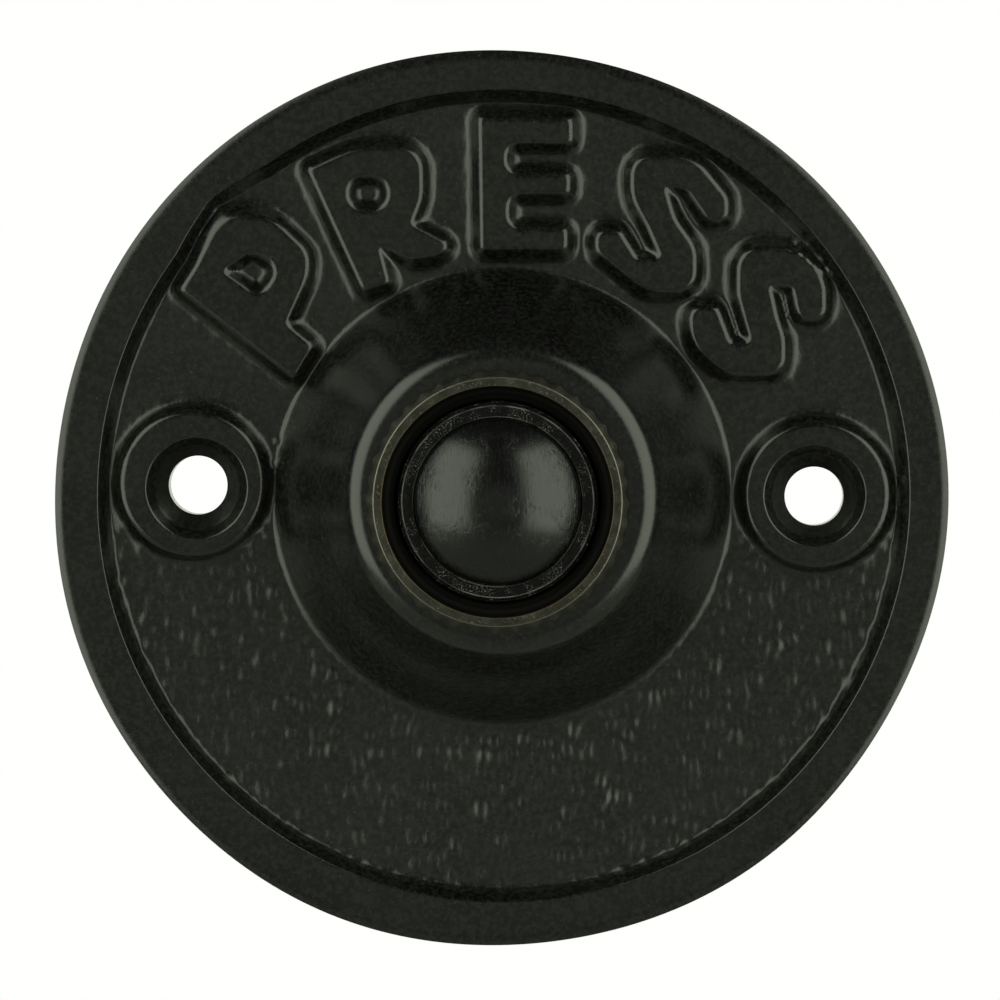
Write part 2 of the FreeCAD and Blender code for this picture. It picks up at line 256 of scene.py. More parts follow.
def wornBrassAndPaintedLight():
    paint = Paint("wornBrassAndPaintedLight", Metallic=0.85)
    blot = paint.noise(1.6, 4, 0.65)
    grain = paint.noise(0.22, 3, 0.6)
    radius = paint.across()
    highlightEnd = paint.beyond(radius, nutHighlightAndShade, "highlightEnd")
    # a thin lighter band at the face's outer edge: a painted highlight
    line = paint.beyond(radius, nutHighlightAndShade, "highlightStart") * (1 - highlightEnd)
    mouth = 1 - paint.beyond(radius, nutHighlightAndShade, "mouthLine")
    # the whole inside of the mouth, painted near black below: painted shade in the recess
    mouthShade = 1 - paint.beyond(radius, nutHighlightAndShade, "mouthEdge")
    tone = paint.ramp(blot, (0.30, (0.022, 0.0205, 0.017)), (0.52, (0.037, 0.035, 0.029)),
                      (0.72, (0.058, 0.055, 0.046)))
    tone = paint.blend(paint.step(grain, 0.58, 0.72), tone, (0.13, 0.125, 0.105))
    tone = paint.blend(line, tone, (0.13, 0.126, 0.10))
    tone = paint.blend(highlightEnd * 0.6, tone, (0.056, 0.053, 0.043))
    tone = paint.blend(mouth, tone, (0.09, 0.065, 0.034))
    # painted shade: the inside of the mouth made near black
    tone = paint.blend(mouthShade, tone, (0.0035, 0.0030, 0.0025))
    paint.feed(paint.shader, {"Base Color": tone, "Roughness": 0.40 + 0.2 * blot - 0.12 * line + 0.2 * mouthShade})
    paint.bump(grain + blot, 0.03)
    return paint.material


# painted highlight lines on the barrel's two front edges, patchy along their length, by distance from its axis
barrelEdgeHighlights = {"innerStart": 7.03, "innerEnd": 7.11, "outerStart": 7.95, "outerEnd": 8.04, "softness": 0.03}


def moulding():
    paint = Paint("moulding", Metallic=0.0, Specular_IOR_Level=0.13)
    grain = paint.noise(0.3, 3, 0.7)
    speck = paint.step(paint.noise(0.14, 2), 0.53, 0.66)
    dust = paint.step(paint.noise(1.1, 3), 0.42, 0.60)
    patch = paint.step(paint.noise(2.5, 3), 0.40, 0.58)
    radius = paint.across()
    # two thin rings on the front edges, painted lighter below: painted highlights
    inner = paint.beyond(radius, barrelEdgeHighlights, "innerStart") * (1 - paint.beyond(radius, barrelEdgeHighlights, "innerEnd"))
    outer = paint.beyond(radius, barrelEdgeHighlights, "outerStart") * (1 - paint.beyond(radius, barrelEdgeHighlights, "outerEnd"))
    edges = inner + outer
    tone = paint.blend(speck * dust, (0.0018, 0.0019, 0.0019), (0.12, 0.12, 0.115))
    # painted highlight: the edge rings made lighter, patchy along their length
    tone = paint.blend(edges * (0.15 + 0.6 * patch), tone, (0.17, 0.17, 0.155))
    paint.feed(paint.shader, {"Base Color": tone, "Roughness": 0.24 + 0.20 * grain})
    paint.bump(grain + 0.6 * speck, 0.06)
    return paint.material


def buttonGloss():
    paint = Paint("buttonGloss", Metallic=0.0, Specular_IOR_Level=0.44)
    dust = paint.noise(0.18, 2)
    scratch = paint.noise(0.5, 3, 0.6, paint.stretched(4.0, 1.0, 0.5, (0, 0.7, 0)))
    wear = paint.step(paint.noise(1.4, 4, 0.7), 0.52, 0.66)
    tone = paint.blend(paint.step(dust, 0.66, 0.76) * 0.3, (0.0022, 0.0022, 0.0022), (0.08, 0.08, 0.075))
    roughness = 0.225 + 0.08 * paint.step(scratch, 0.45, 0.65) + 0.08 * wear
    paint.feed(paint.shader, {"Base Color": tone, "Roughness": roughness})
    paint.bump(scratch + 0.4 * dust + 1.5 * wear, 0.008)
    return paint.material


def plainMetal(name, dark, light, roughness, size=1.2):
    paint = Paint(name, Metallic=1.0)
    blot = paint.noise(size, 4, 0.6)
    grain = paint.noise(0.12, 2)
    tone = paint.blend(paint.step(blot, 0.3, 0.7), dark, light)
    paint.feed(paint.shader, {"Base Color": tone, "Roughness": roughness + 0.12 * blot})
    paint.bump(grain, 0.006)
    return paint.material


def redFibre():
    paint = Paint("redFibre", Metallic=0.0)
    fibre = paint.noise(0.5, 4, 0.7, paint.stretched(1.0, 6.0, 1.0))
    tone = paint.blend(fibre, (0.17, 0.035, 0.022), (0.33, 0.085, 0.055))
    paint.feed(paint.shader, {"Base Color": tone, "Roughness": 0.72 + 0.15 * fibre})
    paint.bump(fibre, 0.02)
    return paint.material


finish = {
    "black_casting": blackEnamel(),
    "bronzed_brass": wornBrassAndPaintedLight(),
    "black_phenolic": moulding(),
    "button_phenolic": buttonGloss(),
    "red_fibre": redFibre(),
    "bright_brass": plainMetal("brightBrass", (0.40, 0.27, 0.10), (0.66, 0.48, 0.21), 0.26),
    "plated_steel": plainMetal("platedSteel", (0.36, 0.36, 0.35), (0.58, 0.58, 0.56), 0.28),
    "spring_steel": plainMetal("springSteel", (0.28, 0.28, 0.29), (0.46, 0.46, 0.46), 0.24),
}
print("stage: materials")


# Modelling helpers

def deselectAll():
    if bpy.context.object and bpy.context.object.mode != "OBJECT":
        bpy.ops.object.mode_set(mode="OBJECT")
    bpy.ops.object.select_all(action="DESELECT")


def roomShare(neighbour):  # how much of a run a round may take, by the corner at its other end
    return 0.98 if neighbour[2] == 0 else 0.47


def roundedOutline(corners, turnStep=12):
    # corners are (across, up, round), and a round corner becomes an arc with a point every turnStep degrees
    places = [Vector(place[:2]) for place in corners]
    points = []
    for i, (_, _, cornerRound) in enumerate(corners):
        here = places[i]
        back = places[i - 1] - here
        ahead = places[(i + 1) % len(places)] - here
        between = back.angle(ahead)
        if cornerRound == 0 or between > math.radians(179):
            points.append(here)
            continue
        roomBack = back.length * roomShare(corners[i - 1])
        roomAhead = ahead.length * roomShare(corners[(i + 1) % len(places)])
        reach = min(cornerRound / math.tan(between / 2), roomBack, roomAhead)
        arcRadius = reach * math.tan(between / 2)
        start = here + back.normalized() * reach
        inward = (back.normalized() + ahead.normalized()).normalized()
        middle = here + inward * (arcRadius / math.sin(between / 2))
        sweep = math.pi - between
        steps = max(2, math.ceil(math.degrees(sweep) / turnStep))
        way = 1 if back.cross(ahead) < 0 else -1
        for k in range(steps + 1):
            turn = way * sweep * k / steps
            arm = start - middle
            points.append(middle + Vector((arm.x * math.cos(turn) - arm.y * math.sin(turn),
                                           arm.x * math.sin(turn) + arm.y * math.cos(turn))))
    return points


def spaced(points, longest):  # closes the outline and splits its long runs; longest(point) is in mm
    full = []
    for here, there in zip(points, points[1:] + points[:1]):
        pieces = max(1, math.ceil((there - here).length / longest((here + there) / 2)))
        full += [here + (there - here) * k / pieces for k in range(pieces)]
    return full + [full[0]]


def spinOutline(name, points, steps, across=0.0, up=0.0):
    # traces the outline from the middle of a tiny plane, then spins it about an axis towards the front
    deselectAll()
    bpy.ops.mesh.primitive_plane_add(size=mm)
    piece = bpy.context.object
    piece.name = name
    bpy.ops.object.mode_set(mode="EDIT")
    bpy.context.tool_settings.mesh_select_mode = (True, False, False)
    bpy.ops.mesh.select_all(action="SELECT")
    bpy.ops.mesh.merge(type="CENTER")
    bpy.ops.transform.translate(value=((across + points[0].x) * mm, -points[0].y * mm, up * mm))
    for here, there in zip(points, points[1:]):
        move = ((there.x - here.x) * mm, (here.y - there.y) * mm, 0)
        bpy.ops.mesh.extrude_vertices_move(TRANSFORM_OT_translate={"value": move})
    bpy.ops.mesh.select_all(action="SELECT")
    bpy.ops.mesh.remove_doubles(threshold=0.001 * mm)
    bpy.ops.mesh.spin(steps=steps, angle=2 * math.pi, center=(across * mm, 0, up * mm), axis=(0, 1, 0))
    bpy.ops.mesh.select_all(action="SELECT")
    bpy.ops.mesh.remove_doubles(threshold=0.001 * mm)
    bpy.ops.mesh.normals_make_consistent(inside=False)
    bpy.ops.object.mode_set(mode="OBJECT")
    return piece


def cornersOf(piece):
    places = np.empty(len(piece.data.vertices) * 3)
    piece.data.vertices.foreach_get("co", places)
    places = places.reshape(-1, 3) / mm
    return places[:, 0], -places[:, 1], places[:, 2]


def moveCorners(piece, across, front, up):
    places = np.stack([across, -front, up], axis=1) * mm
    piece.data.vertices.foreach_set("co", places.ravel())
    piece.data.update()


def splitFaces(piece, wanted, cuts=1):  # wanted(across, front, up) says which faces to subdivide
    mesh = piece.data
    middles = np.empty(len(mesh.polygons) * 3)
    mesh.polygons.foreach_get("center", middles)
    middles = middles.reshape(-1, 3) / mm
    chosen = wanted(middles[:, 0], -middles[:, 1], middles[:, 2])
    deselectAll()
    bpy.context.view_layer.objects.active = piece
    piece.select_set(True)
    bpy.ops.object.mode_set(mode="EDIT")
    bpy.context.tool_settings.mesh_select_mode = (False, False, True)
    bpy.ops.mesh.select_all(action="DESELECT")
    bpy.ops.object.mode_set(mode="OBJECT")
    mesh.polygons.foreach_set("select", chosen)
    bpy.ops.object.mode_set(mode="EDIT")
    bpy.ops.mesh.subdivide(number_cuts=cuts, ngon=False)
    bpy.ops.object.mode_set(mode="OBJECT")


def boolean(piece, other, operation):
    deselectAll()
    bpy.context.view_layer.objects.active = piece
    piece.select_set(True)
    step = piece.modifiers.new("cut", "BOOLEAN")
    step.operation = operation
    step.object = other
    step.solver = "EXACT"
    bpy.ops.object.modifier_apply(modifier=step.name)
    bpy.data.objects.remove(other)


def joined(pieces):
    deselectAll()
    for piece in pieces:
        piece.select_set(True)
    bpy.context.view_layer.objects.active = pieces[0]
    bpy.ops.object.join()
    return bpy.context.object


def dress(piece, slot, body, *nodes, angle=40):
    deselectAll()
    piece.select_set(True)
    bpy.context.view_layer.objects.active = piece
    bpy.ops.object.shade_smooth_by_angle(angle=math.radians(angle))
    piece.data.materials.clear()
    piece.data.materials.append(finish[slot])
    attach(piece, body)
    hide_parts(*nodes)
    triangles = sum(len(face.vertices) - 2 for face in piece.data.polygons)
    print("stage:", piece.name, triangles, "triangles")


def edgeDistance(across, up, outline):  # signed distance to a closed outline, negative inside
    nearest = np.full(across.shape, 1e9)
    inside = np.zeros(across.shape, bool)
    for here, there in zip(outline, outline[1:] + outline[:1]):
        run = there - here
        share = ((across - here.x) * run.x + (up - here.y) * run.y) / max(run.length_squared, 1e-12)
        share = np.clip(share, 0, 1)
        gap = (across - here.x - share * run.x) ** 2 + (up - here.y - share * run.y) ** 2
        nearest = np.minimum(nearest, gap)
        if here.y != there.y:
            crossing = (here.y > up) != (there.y > up)
            inside ^= crossing & (across < run.x * (up - here.y) / run.y + here.x)
    return np.where(inside, -1, 1) * np.sqrt(nearest)


def softened(value, softness):
    return 0.5 * (value + np.sqrt(value ** 2 + softness ** 2))


def wallShare(distance, run, topSoftness, footSoftness):
    # 1 on the raised face and 0 past the foot, with a straight wall between two rounded edges
    down = (softened(distance, topSoftness) - softened(distance - run, footSoftness)) / run
    return 1 - down


# Face plate: the iron casting with its rim, bosses, raised letters and pebbled field

castingPlan = {
    "rimFront": 5.0, "rimInner": 34.45, "rimWall": 1.16, "fieldFront": 3.7, "wall": 2.4,
    "edgeFall": 0.22, "edgeIn": 0.55, "edgeRound": 3.5, "edgeDraft": 0.06,
    "topRound": 0.25, "footRound": 0.6, "castRound": 0.4,
    "flareFoot": 19.45, "flareFootRound": 1.0, "waist": 14.93, "waistFront": 9.1, "flareRound": 30,
    "shoulder": 12.55, "shoulderRound": 2.25, "bore": 8.7, "cavityTop": 12.1, "cavityFoot": 17.55,
    "wallRing": 2.6, "wallRingDraft": 0.4,
    "aroundSteps": 262, "fieldStep": 0.69, "frontStep": 1.2, "backStep": 5.0, "turnStep": 10,
    "pebbled": 3.0,  # the lower field, up to this height, has the finer mesh
    "blendPower": 6,  # how sharply a letter meets the flare or the rim
    "pebbleFade": 0.5,  # the height of a wall at which the pebbles on it end
    "riseInner": 15.43, "riseEdge": 1.5,  # nothing rises inside this radius or this near the outer edge
}
# the cast features lie a little to the right of the outline and above it, as (radius, right, up)
castShift = [(9.0, 0, 0), (11.2, 0.32, 0.3), (15.5, 0.4, 0.35), (19.5, 0.2, 0.07), (33.3, 0.2, 0.22),
             (34.7, 0.3, 0.2), (36.8, 0, 0)]
# dents and specks in the casting, as (across, up, radius, rise)
castMarks = [
    (24.7, 21.8, 0.32, -0.3), (24.95, 21.25, 0.25, 0.15), (25.7, 20.7, 0.35, 0.15), (26.4, 20.2, 0.4, 0.2),
    (27.1, 19.8, 0.4, 0.25), (33.9, 2.15, 0.3, 0.22), (-19.0, 4.5, 0.35, 0.2), (-19.0, 2.6, 0.4, 0.25),
    (-19.1, 1.6, 0.4, -0.2), (-20.2, -3.6, 0.35, 0.18), (9.5, -24.0, 0.3, -0.1), (-6.8, -29.5, 0.35, 0.12),
]
screwPlan = {
    "spacing": 52.4, "right": 0.5, "up": 0.63, "bossRadius": 6.03, "bossRun": 0.85, "hole": 2.5, "sink": 4.3,
    "sinkDepth": 2.1, "sinkEdge": 0.35, "padRadius": 5.95, "padDraft": 0.3, "padRound": 0.2, "holeSteps": 96,
    "padOverlap": 0.6,  # how far a pad reaches into the plate's wall
    "drillPast": 1.0, "drillFlare": 0.6, "drillFlareRise": 0.1,  # the drill beyond the plate's two faces
}
# on each side, how far the boss and the mouth of the countersink lie off the hole, as (side, right, up)
bossShift = [(-1, -0.4, 0.2), (1, 0.16, 0.19)]
sinkShift = [(-1, 0.0, -0.19), (1, 0.0, 0.12)]
letterPlan = {"relief": 1.3, "run": 1.0, "topSoftness": 0.2, "footSoftness": 0.34, "blur": 0.2}
# where the mesh is split finer, by distance from the edges of the field, letters, bosses and hollows
fineBands = {
    "flareFoot": 0.2, "rimFoot": 0.5, "fieldRise": 0.8, "flare": 0.8, "letterIn": 0.3, "letterOut": 1.35,
    "bossIn": 0.4, "bossOut": 1.2, "hollowIn": 1.2, "hollowOut": 0.4,
}

# outlines of the letters' raised faces, as (across, up, corner round)
letterFaces = {
    "P": [(-27.3, 17.2, 0.2), (-24.2, 22.2, 4.5), (-21.9, 23.6, 4.5), (-19.6, 23.3, 4.5), (-16.6, 20.5, 4.5),
          (-16.6, 18.6, 6.0), (-18.35, 14.45, 0.5), (-16.05, 12.6, 0.5), (-17.6, 9.95, 0.3)],
    "R": [(-16.65, 27.55, 0.2), (-12.6, 29.5, 7.0), (-7.15, 29.6, 3.3), (-7.05, 25.4, 3.0), (-7.9, 23.1, 0.4),
          (-4.5, 21.35, 0.5), (-5.8, 20.4, 0.7), (-7.8, 20.1, 1.3), (-10.65, 21.4, 0.3), (-9.7, 18.05, 0.4),
          (-11.8, 17.4, 0.3)],
    "E": [(-2.25, 32.2, 0.3), (5.5, 32.25, 0.4), (5.55, 30.2, 0.4), (0.0, 30.1, 1.1), (0.05, 27.5, 1.1),
          (5.4, 27.55, 0.4), (5.4, 25.9, 0.4), (0.25, 25.8, 1.1), (0.3, 22.9, 1.1), (5.25, 22.9, 0.4),
          (5.25, 21.15, 0.4), (-1.9, 21.05, 0.3)],
    "firstS": [(13.55, 26.7, 0.3), (14.4, 23.85, 4.0), (16.2, 21.45, 2.5), (16.25, 17.8, 3.6),
               (12.05, 17.75, 3.0), (7.85, 21.05, 1.2), (7.8, 22.8, 1.1), (9.75, 22.8, 0.6),
               (11.3, 20.4, 0.6), (13.35, 20.6, 0.3), (12.2, 23.15, 5.0), (10.75, 25.7, 4.0),
               (10.7, 29.15, 3.3), (15.85, 29.25, 3.5), (18.8, 25.75, 1.2), (18.85, 23.9, 1.0),
               (17.25, 23.9, 0.6), (15.35, 26.5, 1.2), (14.1, 26.7, 0.3)],
    "secondS": [(22.55, 18.5, 0.4), (23.25, 15.65, 4.0), (23.85, 13.95, 2.5), (23.9, 11.0, 3.2),
                (19.0, 10.9, 3.0), (16.5, 12.95, 3.0), (15.95, 14.4, 3.0), (15.9, 16.45, 1.1),
                (18.1, 16.5, 0.7), (19.35, 13.4, 0.5), (21.1, 13.5, 0.5), (19.9, 17.55, 3.0),
                (19.85, 21.55, 3.2), (24.8, 21.65, 3.2), (27.2, 18.9, 3.0), (27.25, 15.65, 1.1),
                (25.1, 15.65, 1.0), (24.45, 18.55, 0.7)],
}
# hollows in the bowls of P and R
letterHollows = {
    "P": [(-23.8, 18.85, 0.4), (-21.3, 20.75, 1.2), (-18.9, 19.2, 1.4), (-20.6, 16.6, 1.2)],
    "R": [(-13.3, 27.1, 1.4), (-9.9, 27.1, 1.4), (-9.9, 24.2, 1.4), (-13.3, 24.2, 1.4)],
}
hollowPlan = {"depth": 1.15, "run": 0.9, "softness": 0.22}
pebblePlan = {
    "seed": 11, "step": 1.15, "rowStep": 1.4, "jitter": 0.45, "smallest": 0.45, "largest": 0.8, "tall": 1.55,
    "gentlest": 0.08, "steepest": 0.23, "skew": 1.0, "upperShare": 0.3, "upper": 4.0,
}
# waves that make the cast outline a little untrue, as (lobes, reach, turn in degrees), from this radius out
edgeWaves = [(2, 0.09, 159), (3, 0.12, 21), (4, 0.04, 119), (6, 0.05, 25), (7, 0.05, -24)]
wavesFrom = 30
# the rim's inner wall bulges outwards by the first letter, within these radii
rimBulge = {"turn": 135, "spread": 9.0, "reach": 0.85, "radii": (31.5, 33.2, 34.9, 37.0)}


def isFront(front):  # the field and all that stands before it
    return front > castingPlan["fieldFront"] - 0.01


def holeAcross(side):
    return side * screwPlan["spacing"] / 2 + screwPlan["right"]


def letterDistance(across, up):  # signed distance to the nearest letter's face
    nearest = np.full(across.shape, 1e9)
    for corners in letterFaces.values():
        nearest = np.minimum(nearest, edgeDistance(across, up, roundedOutline(corners)))
    return nearest


def softLetterDistance(across, up):  # the mean of four places round each point, which rounds the creases
    reach = letterPlan["blur"]
    total = 0
    for right, above in [(reach, 0), (-reach, 0), (0, reach), (0, -reach)]:
        total = total + letterDistance(across + right, up + above)
    return total / 4


def hollowDistance(across, up):
    nearest = np.full(across.shape, 1e9)
    for corners in letterHollows.values():
        nearest = np.minimum(nearest, edgeDistance(across, up, roundedOutline(corners)))
    return nearest


def hollowDepth(across, up):
    share = np.zeros(across.shape)
    for corners in letterHollows.values():
        distance = edgeDistance(across, up, roundedOutline(corners))
        soft = hollowPlan["softness"]
        share = np.maximum(share, 1 - wallShare(-distance, hollowPlan["run"], soft, soft))
    return share * hollowPlan["depth"]


def bossDistance(across, up):
    gaps = []
    for side, right, above in bossShift:
        middle = holeAcross(side) + right
        gaps.append(np.hypot(across - middle, up - screwPlan["up"] - above))
    return np.minimum(*gaps) - screwPlan["bossRadius"]


def pebbles(across, up, share):
    # rounded bumps on a shaken grid, stronger in the lower half and faint near the letters
    plan = pebblePlan
    draw = np.random.default_rng(plan["seed"])
    height = np.zeros(across.shape)
    radius = castingPlan["rimInner"]
    rows = np.arange(-radius, radius, plan["rowStep"])
    for row, rowUp in enumerate(rows):
        shift = plan["step"] / 2 * (row % 2)
        near = np.abs(up - rowUp) < 2 * plan["largest"] * plan["tall"]
        rowAcross, rowHeights = across[near], up[near]
        total = np.zeros(rowAcross.shape)
        for column in np.arange(-radius + shift, radius, plan["step"]):
            jitterAcross, jitterUp, size, rise = draw.random(4)
            middle = column + (jitterAcross - 0.5) * 2 * plan["jitter"]
            middleUp = rowUp + (jitterUp - 0.5) * 2 * plan["jitter"]
            if not castingPlan["flareFoot"] - 1 < math.hypot(middle, middleUp) < radius:
                continue
            wide = plan["smallest"] + (plan["largest"] - plan["smallest"]) * size
            rise = wide * (plan["gentlest"] + (plan["steepest"] - plan["gentlest"]) * rise ** plan["skew"])
            rise *= 1 if middleUp < plan["upper"] else plan["upperShare"]
            gap = ((rowAcross - middle) / wide) ** 2 + ((rowHeights - middleUp) / (wide * plan["tall"])) ** 2
            total += np.where(gap < 1, rise * (1 - gap) ** 2, 0)
        height[near] += total
    return height * share


def castingOutline():
    plan = castingPlan
    fieldBack = plan["fieldFront"] - plan["wall"]
    webBack = seatFront - plan["wall"]
    corners = [
        (plateRadius, 0, plan["castRound"]),
        (plateRadius - plan["edgeDraft"], plan["rimFront"] - plan["edgeFall"], 0),
        (plateRadius - plan["edgeIn"], plan["rimFront"], plan["edgeRound"]),
        (plan["rimInner"], plan["rimFront"], plan["topRound"]),
        (plan["rimInner"] - plan["rimWall"], plan["fieldFront"], plan["footRound"]),
        (plan["flareFoot"], plan["fieldFront"], plan["flareFootRound"]),
        (plan["waist"], plan["waistFront"], plan["flareRound"]),
        (plan["shoulder"], seatFront, plan["shoulderRound"]),
        (plan["bore"], seatFront, 0),
        (plan["bore"], webBack, 0),
        (plan["cavityTop"], webBack, plan["castRound"]),
        (plan["cavityFoot"], fieldBack, plan["castRound"]),
        (plateRadius - plan["wallRing"] - plan["wallRingDraft"], fieldBack, plan["castRound"]),
        (plateRadius - plan["wallRing"], 0, 0),
    ]

    def longest(place):
        radius, front = place
        if not isFront(front):
            return plan["backStep"]
        return plan["fieldStep"] if plan["flareFoot"] < radius < plan["rimInner"] else plan["frontStep"]

    return spaced(roundedOutline(corners, plan["turnStep"]), longest)


def makePads():  # the pads behind the screw bosses, which bear on the wall
    padFront = castingPlan["fieldFront"] - castingPlan["wall"] + screwPlan["padOverlap"]
    outline = roundedOutline([
        (0, 0, 0), (screwPlan["padRadius"], 0, screwPlan["padRound"]),
        (screwPlan["padRadius"] + screwPlan["padDraft"], padFront, 0), (0, padFront, 0)])
    pads = []
    for side in (-1, 1):
        pads.append(spinOutline("pad", outline + outline[:1], screwPlan["holeSteps"],
                                holeAcross(side), screwPlan["up"]))
    return joined(pads)


def makeDrills():  # what the two countersunk holes cut away; each countersink's mouth leans off its hole
    rimFront = castingPlan["rimFront"]
    past = screwPlan["drillPast"]
    wide = screwPlan["sink"] + screwPlan["drillFlare"]
    outline = roundedOutline([
        (0, -past, 0), (screwPlan["hole"], -past, 0),
        (screwPlan["hole"], rimFront - screwPlan["sinkDepth"], 0),
        (screwPlan["sink"], rimFront, screwPlan["sinkEdge"]),
        (wide, rimFront + screwPlan["drillFlareRise"], 0),
        (wide, rimFront + past, 0), (0, rimFront + past, 0)])
    drills = []
    for side, right, above in sinkShift:
        drill = spinOutline("drill", outline + outline[:1], screwPlan["holeSteps"],
                            holeAcross(side), screwPlan["up"])
        across, front, up = cornersOf(drill)
        lean = np.clip((front - rimFront) / screwPlan["sinkDepth"] + 1, 0, None)
        moveCorners(drill, across + right * lean, front, up + above * lean)
        drills.append(drill)
    return joined(drills)


def onField(across, front, up):
    plan = castingPlan
    radius = np.hypot(across, up)
    field = radius > plan["flareFoot"] - fineBands["flareFoot"]
    field &= radius < plan["rimInner"] - fineBands["rimFoot"]
    return isFront(front) & (front < plan["fieldFront"] + fineBands["fieldRise"]) & field


def onPebbles(across, front, up):
    return onField(across, front, up) & (up < castingPlan["pebbled"])


def onLetters(across, front, up):
    return onField(across, front, up) & (up >= castingPlan["pebbled"])


def nearEdges(across, front, up):
    bands = fineBands
    letter = letterDistance(across, up)
    hollow = hollowDistance(across, up)
    boss = bossDistance(across, up)
    near = (letter > -bands["letterIn"]) & (letter < bands["letterOut"])
    near |= (boss > -bands["bossIn"]) & (boss < bands["bossOut"])
    near |= (hollow > -bands["hollowIn"]) & (hollow < bands["hollowOut"])
    outside = np.hypot(across, up) > castingPlan["flareFoot"] - bands["flare"]
    return isFront(front) & outside & (up >= castingPlan["pebbled"]) & near


def risen(across, front, up):  # the letters, bosses, pebbles and marks rise from the field
    plan = castingPlan
    radius = np.hypot(across, up)
    soft = letterPlan["topSoftness"], letterPlan["footSoftness"]
    letter = wallShare(softLetterDistance(across, up), letterPlan["run"], *soft)
    letterRise = letterPlan["relief"] * letter - hollowDepth(across, up)
    boss = wallShare(bossDistance(across, up), screwPlan["bossRun"], *soft)
    bossRise = (plan["rimFront"] - plan["fieldFront"]) * boss
    base = np.clip(front - plan["fieldFront"], 0, None)
    raised = np.clip(np.maximum(letterRise, bossRise), 0, None)
    power = plan["blendPower"]
    together = (base ** power + raised ** power) ** (1 / power)
    share = np.clip(1 - together / plan["pebbleFade"], 0, 1) * np.clip(radius - plan["flareFoot"], 0, 1)
    together += pebbles(across, up, share)
    for markAcross, markUp, size, rise in castMarks:
        gap = ((across - markAcross) ** 2 + (up - markUp) ** 2) / size ** 2
        together += rise * np.exp(-gap)
    onFace = isFront(front) & (radius > plan["riseInner"]) & (radius < plateRadius - plan["riseEdge"])
    return np.where(onFace, plan["fieldFront"] + together, front)


def untrue(across, front, up):  # how far the outline and the rim's inner wall leave their true circles
    radius = np.hypot(across, up)
    turn = np.arctan2(up, across)
    shift = np.zeros(radius.shape)
    for lobes, reach, start in edgeWaves:
        shift += reach * np.cos(lobes * turn - math.radians(start))
    shift *= np.clip((radius - wavesFrom) / (plateRadius - wavesFrom), 0, 1) ** 2
    away = np.degrees(np.abs(np.angle(np.exp(1j * (turn - math.radians(rimBulge["turn"]))))))
    bulge = rimBulge["reach"] * np.clip(1 - away / rimBulge["spread"], 0, 1)
    weight = np.interp(radius, rimBulge["radii"], [0, 1, 1, 0])
    shift += np.where(isFront(front), bulge * weight, 0)
    return 1 + shift / np.maximum(radius, 1)


def makeCasting():
    casting = spinOutline("castingDressed", castingOutline(), castingPlan["aroundSteps"])
    across, front, up = cornersOf(casting)
    radius = np.hypot(across, up)
    radii, right, above = zip(*castShift)
    across += np.where(isFront(front), np.interp(radius, radii, right), 0)
    up += np.where(isFront(front), np.interp(radius, radii, above), 0)
    moveCorners(casting, across, front, up)
    boolean(casting, makePads(), "UNION")
    splitFaces(casting, onPebbles, 2)
    splitFaces(casting, onLetters)
    splitFaces(casting, nearEdges)
    across, front, up = cornersOf(casting)
    front = risen(across, front, up)
    scale = untrue(across, front, up)
    moveCorners(casting, across * scale, front, up * scale)
    boolean(casting, makeDrills(), "DIFFERENCE")
    dress(casting, "black_casting", "housing", "face_plate", angle=34)


makeCasting()


# Ring nut: round, with a coarse straight knurl, a bevelled face and a threaded, flared mouth

nutPlan = {
    "bore": 8.5, "mouth": 9.65, "faceEdge": 10.36, "bevelFall": 0.7, "edgeRound": 0.22, "mouthRound": 0.08,
    "mouthDepth": 1.5, "mouthDraft": 0.2, "mouthFall": 0.6, "ridges": 2, "ridgeHeight": 0.03, "chamfer": 0.3,
    "smallRound": 0.05, "teeth": 40, "toothDepth": 0.24, "toothPower": 0.8, "stepsPerTooth": 8,
    "toothStart": 0.05,  # the teeth start this far outside the face's edge
}
# the uneven wear of the teeth round the nut, as (lobes, reach, turn in radians)
toothWear = [(7, 0.05, 1), (17, 0.04, 0)]


